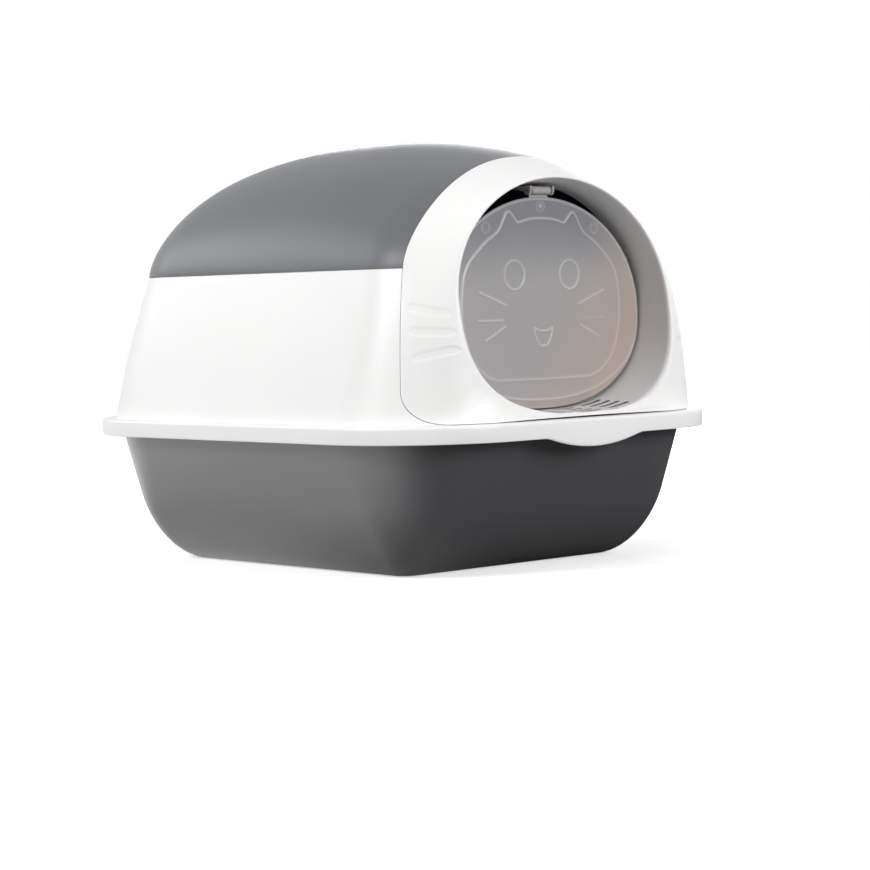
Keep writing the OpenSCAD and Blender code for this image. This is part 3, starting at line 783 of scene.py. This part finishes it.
# the line along the rim runs close to the edge, and further from it along the bottom
def rimBand(z):
    return face["rimBand"] + (face["lowBand"] - face["rimBand"]) * smooth(-28, -70, z)


# how strongly a moulded line passes through a place, from 0 to 1
def lineStrength(x, z, fromEdge, inside, eye):
    f, ax = face, abs(x)
    near = [ridge(fromEdge - rimBand(z), f["wideHalf"]) * f["rimShare"], ridge(eye)]
    if inside is not None:
        near.append(ridge(inside, f["wideHalf"]))
    for a, b in f["whiskers"]:
        near.append(ridge(segment(ax, z, a, b)) * (f["faintShare"] if x > 0 and a[1] == b[1] else 1))
    if ax < 15 and -30 < z < -3:
        near.append(ridge(lineDistance(smileLine, ax, z)))
    near += [f["ringShare"] * ridge(math.hypot(ax - cx, z - cz) - f["ringSize"]) for cx, cz in f["rings"]]
    return max(near)


# height of the door's front above its plain face
def relief(x, z):
    fromEdge, inside, eye = faceDistances(x, z)
    high = face["line"] * lineStrength(x, z, fromEdge, inside, eye)
    high -= face["eyeSink"] * smooth(0.4, -0.6, eye)
    if inside is None:
        high += face["plate"] if doorShare(x, z) < face["plateWithin"] else 0.0
    else:
        high += face["plate"] * smooth(-face["wideHalf"], face["wideHalf"], inside)
    return high - face["bevel"] * smooth(rimBand(z), 0.0, fromEdge) * smooth(-20, -60, z)


# places of a square grid drawn into the door's outline, without a pole in its middle
def doorGrid(n):
    def place(i, j):
        u, v = 2 * i / n - 1, 2 * j / n - 1
        r = max(abs(u), abs(v))
        if r == 0:
            return 0.0, 0.0
        if abs(u) >= abs(v):
            t = math.pi / 4 * v / u + (math.pi if u < 0 else 0.0)
        else:
            t = math.pi / 2 - math.pi / 4 * u / v + (math.pi if v < 0 else 0.0)
        c, s = math.cos(t), math.sin(t)
        k = r / doorShare(c, s)
        return k * c, k * s
    return [[place(i, j) for i in range(n + 1)] for j in range(n + 1)]


def makeDoor():
    skin = Skin()
    n = door["fullGrid"]
    back, front = doorY + door["thick"] / 2, doorY - door["thick"] / 2
    points = doorGrid(n)
    heights = [[relief(x, z) for x, z in row] for row in points]
    rows = [[(x, front - h, doorMid + z) for (x, z), h in zip(row, high)]
            for row, high in zip(points, heights)]
    skin.grid(rows, wrapCols=False)
    walk = [(0, i) for i in range(n)] + [(j, n) for j in range(n)] + [(n, n - i) for i in range(n)]
    walk += [(n - j, 0) for j in range(n)]

    def edge(y, inset, follow=0.0):
        ring = []
        for j, i in walk:
            x, z = points[j][i]
            share = 1 - inset / doorHalf
            ring.append((x * share, y - follow * heights[j][i], doorMid + z * share))
        return ring
    first = skin.grid([edge(front, 0, 1.0), edge(front + 1.2, -0.05), edge(back - 0.4, 0), edge(back, 0.5)])
    skin.cap(first + 3 * len(walk), len(walk))
    panel = skin.piece("doorPanel", sharp=75, weld=0.02)
    # the strength of the moulded lines, kept with the points of the front for the door's finish, which
    # paints a highlight along them
    marks = panel.data.attributes.new("lineHighlightMark", "FLOAT", "POINT")
    values = []
    for vert in panel.data.vertices:
        x, y, z = vert.co / mm
        values.append(lineStrength(x, z - doorMid, *faceDistances(x, z - doorMid)) if y < doorY else 0.0)
    marks.data.foreach_set("value", values)
    return panel


# ---------- door hanger, bracket and pin ----------
hanger = {"width": 29, "pin": 3.0, "eyeWall": 2.1, "webT": 2.4, "play": 1.2, "tongueT": 1.6, "pegR": 2.4,
          "jawT": 2.4, "jawReach": 9, "jawLength": 30, "earR": 4.0}
eyeR = hanger["pin"] / 2 + hanger["eyeWall"]
pinZ = doorTop + eyeR + 2
pegZ = doorTop - 8
eyeWidth = hanger["width"] - 2 * hanger["webT"] - 2 * hanger["play"]
jawZ = throatTop + entry["wall"] + 2


def makeHanger():
    skin = Skin()
    half, back, front = eyeWidth / 2, doorY + door["thick"] / 2 + 0.03, doorY - door["thick"] / 2
    r, sides = hanger["pegR"], 24
    peg = [(back + 1, r), (front - 0.2, r), (front - 0.45, r - 0.4)]
    turns = [360 * k / sides for k in range(sides)]
    first = skin.grid([[(r * cosD(t), y, pegZ + r * sinD(t)) for t in turns] for y, r in peg])
    skin.cap(first, sides)
    skin.cap(first + 2 * sides, sides)
    addTube(skin, -half, half, doorY, pinZ, eyeR, hanger["pin"] / 2 + 0.08)
    behind = back + hanger["tongueT"]
    tongue = [(back, pegZ - 6, 0.4), (behind, pegZ - 6, 0.4), (behind, pinZ, 0.2), (back, pinZ, 0.2)]
    addPlateX(skin, -half, half, tongue)
    return skin.piece("doorHanger", sharp=40)


def makeBracket():
    skin = Skin()
    h = hanger
    webBack, armTop = tunnelY + h["jawLength"] - h["jawReach"], throatTop - 1.4
    half = h["width"] / 2
    jawTop, jawFront, earLow = jawZ + h["jawT"], tunnelY - h["jawReach"], pinZ - h["earR"]
    spineFront, spineLow = tunnelY + 8, throatTop + 0.6
    spineBack = spineFront + h["webT"]
    arm = [(doorY - h["earR"], pinZ - 1, 2), (doorY - 2, earLow, 2.0), (doorY + 2, earLow, 2.0),
           (doorY + 4, pinZ - 0.8, 0.5), (webBack - 4, pinZ + 4, 1.5), (webBack, jawTop, 0.8),
           (tunnelY + 0.6, jawTop, 0.5), (tunnelY + 0.6, armTop, 0.4), (doorY - h["earR"], armTop, 0.6)]
    jawBack = webBack - 1
    jaw = [(jawFront, jawZ, 0.5), (jawBack, jawZ, 0.5), (jawBack, jawTop, 0.5), (jawFront, jawTop, 0.5)]
    spine = [(spineFront, spineLow, 0.4), (spineBack, spineLow, 0.4),
             (spineBack, jawZ + 1, 0.2), (spineFront, jawZ + 1, 0.2)]
    for side in (-1, 1):
        x = side * half if side < 0 else half - h["webT"]
        addPlateX(skin, x, x + h["webT"], arm)
    addPlateX(skin, 0.6 - half, half - 0.6, jaw)
    addPlateX(skin, h["webT"] - 0.5 - half, half - h["webT"] + 0.5, spine)
    return skin.piece("hangerBracket", sharp=40)


def makeHangerPin():
    skin = Skin()
    addBar(skin, -hanger["width"] / 2, hanger["width"] / 2, doorY, pinZ, hanger["pin"] / 2, soft=0.3)
    return skin.piece("hangerPin", sharp=40)


# ---------- shared effects ----------


def newGroup(name, inputs, outputs):
    group = bpy.data.node_groups.new(name, "ShaderNodeTree")
    for label, value in inputs:
        socket = group.interface.new_socket(name=label, in_out="INPUT", socket_type="NodeSocketFloat")
        socket.default_value = value
    for label, kind in outputs:
        group.interface.new_socket(name=label, in_out="OUTPUT", socket_type=kind)
    return group, group.nodes.new("NodeGroupInput"), group.nodes.new("NodeGroupOutput")


def addNode(tree, kind, **settings):
    node = tree.nodes.new(kind)
    for key, value in settings.items():
        setattr(node, key, value)
    return node


def noiseAt(tree, scaleSocket, detail):
    place = addNode(tree, "ShaderNodeTexCoord")
    cloud = addNode(tree, "ShaderNodeTexNoise")
    cloud.inputs["Detail"].default_value = detail
    tree.links.new(place.outputs["Object"], cloud.inputs["Vector"])
    tree.links.new(scaleSocket, cloud.inputs["Scale"])
    return cloud


# slow unevenness of a moulded wall: a factor near 1 for its colour, and a roughness
def mouldedTone():
    group, inside, outside = newGroup(
        "mouldedTone",
        [("Scale", 12.0), ("Tone Change", 0.04), ("Roughness", 0.35), ("Roughness Change", 0.06)],
        [("Tone", "NodeSocketFloat"), ("Roughness", "NodeSocketFloat")])
    cloud = noiseAt(group, inside.outputs["Scale"], 3.0)
    for low, source, target in (("one", "Tone Change", "Tone"), ("rough", "Roughness Change", "Roughness")):
        centre = addNode(group, "ShaderNodeMath", operation="SUBTRACT")
        group.links.new(cloud.outputs["Fac"], centre.inputs[0])
        centre.inputs[1].default_value = 0.5
        span = addNode(group, "ShaderNodeMath", operation="MULTIPLY_ADD")
        group.links.new(centre.outputs[0], span.inputs[0])
        group.links.new(inside.outputs[source], span.inputs[1])
        if low == "one":
            span.inputs[2].default_value = 1.0
        else:
            group.links.new(inside.outputs["Roughness"], span.inputs[2])
        group.links.new(span.outputs[0], outside.inputs[target])
    return group


# fine grain of a tool's surface, as a height
def mouldGrain():
    group, inside, outside = newGroup(
        "mouldGrain", [("Scale", 900.0), ("Depth", 1.0)], [("Height", "NodeSocketFloat")])
    cloud = noiseAt(group, inside.outputs["Scale"], 2.0)
    deep = addNode(group, "ShaderNodeMath", operation="MULTIPLY")
    group.links.new(cloud.outputs["Fac"], deep.inputs[0])
    group.links.new(inside.outputs["Depth"], deep.inputs[1])
    group.links.new(deep.outputs[0], outside.inputs["Height"])
    return group


toneGroup = mouldedTone()
grainGroup = mouldGrain()
print("node groups built")

# ---------- materials ----------
finishes = {
    "trayGloss": {"colour": (0.085, 0.086, 0.091), "rough": 0.3, "specular": 1.0,
                  "grain": 0.03, "grainScale": 700},
    "whiteGloss": {"colour": (0.885, 0.882, 0.876), "rough": 0.38, "specular": 0.4,
                   "grain": 0.015, "grainScale": 900},
    "domeSatin": {"colour": (0.134, 0.141, 0.15), "rough": 0.4, "specular": 0.28,
                  "grain": 0.05, "grainScale": 1100},
    "doorFrost": {"colour": (0.50, 0.486, 0.486), "rough": 0.36, "specular": 0.3,
                  "grain": 0.05, "grainScale": 1300, "through": 0.3,
                  # painted highlight: the paler colour of the moulded lines, and how far towards it they go
                  "lines": (0.86, 0.85, 0.84), "lineHighlightShare": 0.6,
                  # painted shade, cooler and darker towards the top; painted light, warmer towards the lower
                  # right and along the foot
                  "paintedShading": (((0.0, 1.0), 15, 92, (0.295, 0.30, 0.33)),
                            ((0.8, -0.5), 2, 88, (0.585, 0.49, 0.445)),
                            ((0.0, -1.0), 71, 72.5, (0.57, 0.495, 0.45)))},
    "clipMilky": {"colour": (0.62, 0.60, 0.59), "rough": 0.3, "specular": 0.5,
                  "grain": 0.02, "grainScale": 900, "through": 0.45},
    # painted shade: the walls of the drain slots are white plastic, darkened here as if in shade
    "slotPaintedShade": {"colour": (0.16, 0.15, 0.145), "rough": 0.6, "specular": 0.1,
                  "grain": 0.02, "grainScale": 900},
    "pinGrey": {"colour": (0.36, 0.36, 0.37), "rough": 0.4, "specular": 0.5,
                "grain": 0.02, "grainScale": 900},
}
grainHeight = 0.0004  # metres


# one painted change of colour across the door, standing in for light and shade: a way over its front, where
# it starts and ends, and its colour
def paintedShadingColour(tree, colour, fade):
    (across, up), start, end, tint = fade
    place = addNode(tree, "ShaderNodeTexCoord")
    along = addNode(tree, "ShaderNodeVectorMath", operation="DOT_PRODUCT")
    along.inputs[1].default_value = (across, 0, up)
    tree.links.new(place.outputs["Object"], along.inputs[0])
    share = addNode(tree, "ShaderNodeMapRange", interpolation_type="SMOOTHSTEP")
    share.inputs["From Min"].default_value = (start + up * doorMid) * mm
    share.inputs["From Max"].default_value = (end + up * doorMid) * mm
    tree.links.new(along.outputs["Value"], share.inputs["Value"])
    mixed = addNode(tree, "ShaderNodeMix", data_type="RGBA")
    mixed.inputs["B"].default_value = (*tint, 1)
    tree.links.new(share.outputs["Result"], mixed.inputs["Factor"])
    tree.links.new(colour.outputs["Result"], mixed.inputs["A"])
    return mixed


# painted highlight: paler where the moulded lines of the door run
def paintedLineHighlight(tree, colour, look):
    mark = addNode(tree, "ShaderNodeAttribute", attribute_name="lineHighlightMark")
    pale = addNode(tree, "ShaderNodeMix", data_type="RGBA")
    pale.inputs["B"].default_value = (*look["lines"], 1)
    share = addNode(tree, "ShaderNodeMath", operation="MULTIPLY")
    share.inputs[1].default_value = look["lineHighlightShare"]
    tree.links.new(mark.outputs["Fac"], share.inputs[0])
    tree.links.new(share.outputs[0], pale.inputs["Factor"])
    tree.links.new(colour.outputs["Result"], pale.inputs["A"])
    return pale


def makeFinish(name):
    look = finishes[name]
    stuff = bpy.data.materials.new(name)
    stuff.use_nodes = True
    tree = stuff.node_tree
    shader = tree.nodes["Principled BSDF"]
    tone = addNode(tree, "ShaderNodeGroup", node_tree=toneGroup)
    tone.inputs["Roughness"].default_value = look["rough"]
    colour = addNode(tree, "ShaderNodeMix", data_type="RGBA", blend_type="MULTIPLY")
    colour.inputs["Factor"].default_value = 1.0
    colour.inputs["A"].default_value = (*look["colour"], 1)
    tree.links.new(tone.outputs["Tone"], colour.inputs["B"])
    for fade in look.get("paintedShading", ()):
        colour = paintedShadingColour(tree, colour, fade)
    if "lines" in look:
        colour = paintedLineHighlight(tree, colour, look)
    tree.links.new(colour.outputs["Result"], shader.inputs["Base Color"])
    tree.links.new(tone.outputs["Roughness"], shader.inputs["Roughness"])
    grain = addNode(tree, "ShaderNodeGroup", node_tree=grainGroup)
    grain.inputs["Scale"].default_value = look["grainScale"]
    bump = addNode(tree, "ShaderNodeBump")
    bump.inputs["Strength"].default_value = look["grain"]
    bump.inputs["Distance"].default_value = grainHeight
    tree.links.new(grain.outputs["Height"], bump.inputs["Height"])
    tree.links.new(bump.outputs["Normal"], shader.inputs["Normal"])
    shader.inputs["Specular IOR Level"].default_value = look["specular"]
    shader.inputs["Transmission Weight"].default_value = look.get("through", 0.0)
    return stuff


stuffs = {name: makeFinish(name) for name in finishes}
print("materials built")

# ---------- pieces on their bodies ----------
finishPiece(makeTray(), "tray_body", stuffs["trayGloss"], "tray_plastic", "tray")
finishPiece(makeFlange(), "hood", stuffs["whiteGloss"], "white_plastic", "hood_frame")
finishPiece(makeSkirt(), "hood", stuffs["whiteGloss"], "white_plastic")
finishPiece(makeEars(), "hood", stuffs["whiteGloss"], "white_plastic")
bezel = finishPiece(makeBezel(), "hood", stuffs["whiteGloss"], "white_plastic", "entry_bezel")
# the second finish paints shade on the walls of the drain slots
bezel.data.materials.append(stuffs["slotPaintedShade"])
finishPiece(makeBezelLip(), "hood", stuffs["whiteGloss"], "white_plastic")
finishPiece(makeLid(), "lid", stuffs["domeSatin"], "lid_plastic", "dome_lid")
finishPiece(makeKnuckles(), "lid", stuffs["domeSatin"], "lid_plastic")
finishPiece(makeHingePin(-1), "hood", stuffs["pinGrey"], "pin_plastic", "lid_hinge_pin_left")
finishPiece(makeHingePin(1), "hood", stuffs["pinGrey"], "pin_plastic", "lid_hinge_pin_right")
print("shells and hinge built")
finishPiece(makeDoor(), "door", stuffs["doorFrost"], "door_plastic", "door_flap")
finishPiece(makeHanger(), "door", stuffs["clipMilky"], "clip_plastic", "door_hanger")
finishPiece(makeBracket(), "hood", stuffs["clipMilky"], "clip_plastic", "hanger_bracket")
finishPiece(makeHangerPin(), "hood", stuffs["pinGrey"], "pin_plastic", "hanger_pin")
print("door and hanger built")

# ---------- floor, world and lamps ----------
stageLook = {
    "floorSize": 12.0, "floorDrop": 0.0002, "floorColour": 0.9, "floorForRoom": 0.3, "room": 0.11,
    # the floor's own light, close to the box and far from it
    "glowNear": 0.5, "glowFar": 1.0, "nearEnds": 0.27, "farStarts": 0.55,
    # painted reflection: gloss shows the floor dark in front and to the right, bright to the left and behind
    "glossDark": 0.03, "darkEnds": -0.12, "brightStarts": 0.18, "brightWay": (-0.7, 0.7, 0),
}
lamps = [
    # name, place, size, watts; all of them aimed at the box
    ("lowLeft", (-2.2, 0.3, 0.65), 0.8, 4.0),
    ("keyLeft", (-2.05, 0.25, 1.35), 0.8, 36.0),
    ("front", (0.4, -2.3, 0.8), 1.0, 33.0),
    ("top", (0.15, -1.0, 2.25), 1.0, 7.0),
    ("right", (2.0, -0.9, 1.35), 1.0, 6.0),
    ("rearFill", (1.9, 1.7, 0.7), 1.0, 20.0),
    ("sheen", (-0.9, 1.7, 1.1), 1.0, 12.0),  # shows in the gloss alone
]


def seesBackground(tree):
    # 1 for rays from the camera, from gloss and through clear plastic
    path = addNode(tree, "ShaderNodeLightPath")
    total = None
    for label in ("Is Camera Ray", "Is Glossy Ray", "Is Transmission Ray"):
        if total is None:
            total = path.outputs[label]
            continue
        more = addNode(tree, "ShaderNodeMath", operation="MAXIMUM")
        tree.links.new(total, more.inputs[0])
        tree.links.new(path.outputs[label], more.inputs[1])
        total = more.outputs[0]
    return total


# painted reflection: 1, but lower for gloss where the floor lies in front of the box or to its right
def glossDimming(tree, place):
    across = addNode(tree, "ShaderNodeVectorMath", operation="DOT_PRODUCT")
    across.inputs[1].default_value = stageLook["brightWay"]
    tree.links.new(place.outputs["Object"], across.inputs[0])
    level = addNode(tree, "ShaderNodeMapRange", interpolation_type="SMOOTHSTEP")
    for label, key in (("From Min", "darkEnds"), ("From Max", "brightStarts"), ("To Min", "glossDark")):
        level.inputs[label].default_value = stageLook[key]
    tree.links.new(across.outputs["Value"], level.inputs["Value"])
    path = addNode(tree, "ShaderNodeLightPath")
    choice = addNode(tree, "ShaderNodeMix", data_type="FLOAT")
    choice.inputs["A"].default_value = 1.0
    tree.links.new(path.outputs["Is Glossy Ray"], choice.inputs["Factor"])
    tree.links.new(level.outputs["Result"], choice.inputs["B"])
    return choice.outputs["Result"]


def makeFloor():
    half = stageLook["floorSize"] / 2
    mesh = bpy.data.meshes.new("floor")
    corners = [(x * half, y * half, 0) for x, y in ((-1, -1), (1, -1), (1, 1), (-1, 1))]
    mesh.from_pydata(corners, [], [(0, 1, 2, 3)])
    floor = bpy.data.objects.new("floor", mesh)
    bpy.context.scene.collection.objects.link(floor)
    floor.location.z = -stageLook["floorDrop"]
    stuff = bpy.data.materials.new("paleFloor")
    stuff.use_nodes = True
    tree = stuff.node_tree
    shader = tree.nodes["Principled BSDF"]
    shader.inputs["Specular IOR Level"].default_value = 0.0
    shader.inputs["Roughness"].default_value = 1.0
    seen = seesBackground(tree)
    tone = addNode(tree, "ShaderNodeMapRange")
    tone.inputs["To Min"].default_value = stageLook["floorForRoom"]
    tone.inputs["To Max"].default_value = stageLook["floorColour"]
    tree.links.new(seen, tone.inputs["Value"])
    place = addNode(tree, "ShaderNodeTexCoord")
    away = addNode(tree, "ShaderNodeVectorMath", operation="LENGTH")
    tree.links.new(place.outputs["Object"], away.inputs[0])
    ramp = addNode(tree, "ShaderNodeMapRange")
    for label, key in (("From Min", "nearEnds"), ("From Max", "farStarts"),
                       ("To Min", "glowNear"), ("To Max", "glowFar")):
        ramp.inputs[label].default_value = stageLook[key]
    tree.links.new(away.outputs["Value"], ramp.inputs["Value"])
    glow = addNode(tree, "ShaderNodeMath", operation="MULTIPLY")
    tree.links.new(ramp.outputs["Result"], glow.inputs[0])
    tree.links.new(seen, glow.inputs[1])
    shader.inputs["Emission Color"].default_value = (1, 1, 1, 1)
    dim = glossDimming(tree, place)
    for value, target in ((tone.outputs["Result"], "Base Color"), (glow.outputs[0], "Emission Strength")):
        dimmed = addNode(tree, "ShaderNodeMath", operation="MULTIPLY")
        tree.links.new(value, dimmed.inputs[0])
        tree.links.new(dim, dimmed.inputs[1])
        tree.links.new(dimmed.outputs[0], shader.inputs[target])
    floor.data.materials.append(stuff)


def makeWorld():
    world = bpy.data.worlds.new("studio")
    bpy.context.scene.world = world
    world.use_nodes = True
    tree = world.node_tree
    back = tree.nodes["Background"]
    back.inputs["Color"].default_value = (1, 1, 1, 1)
    level = addNode(tree, "ShaderNodeMapRange")
    level.inputs["To Min"].default_value = stageLook["room"]
    level.inputs["To Max"].default_value = 1.0
    tree.links.new(seesBackground(tree), level.inputs["Value"])
    tree.links.new(level.outputs["Result"], back.inputs["Strength"])


def makeLamps():
    for name, place, size, watts in lamps:
        light = bpy.data.lights.new(name, "AREA")
        light.shape = "DISK"
        light.size = size
        light.energy = watts
        holder = bpy.data.objects.new(name, light)
        holder.location = place
        holder.rotation_euler = (Vector(camera["aim"]) - Vector(place)).to_track_quat("-Z", "Y").to_euler()
        holder.visible_diffuse = name != "sheen"
        bpy.context.scene.collection.objects.link(holder)


makeFloor()
makeWorld()
makeLamps()
bpy.context.scene.view_settings.view_transform = "Standard"
print("studio built")
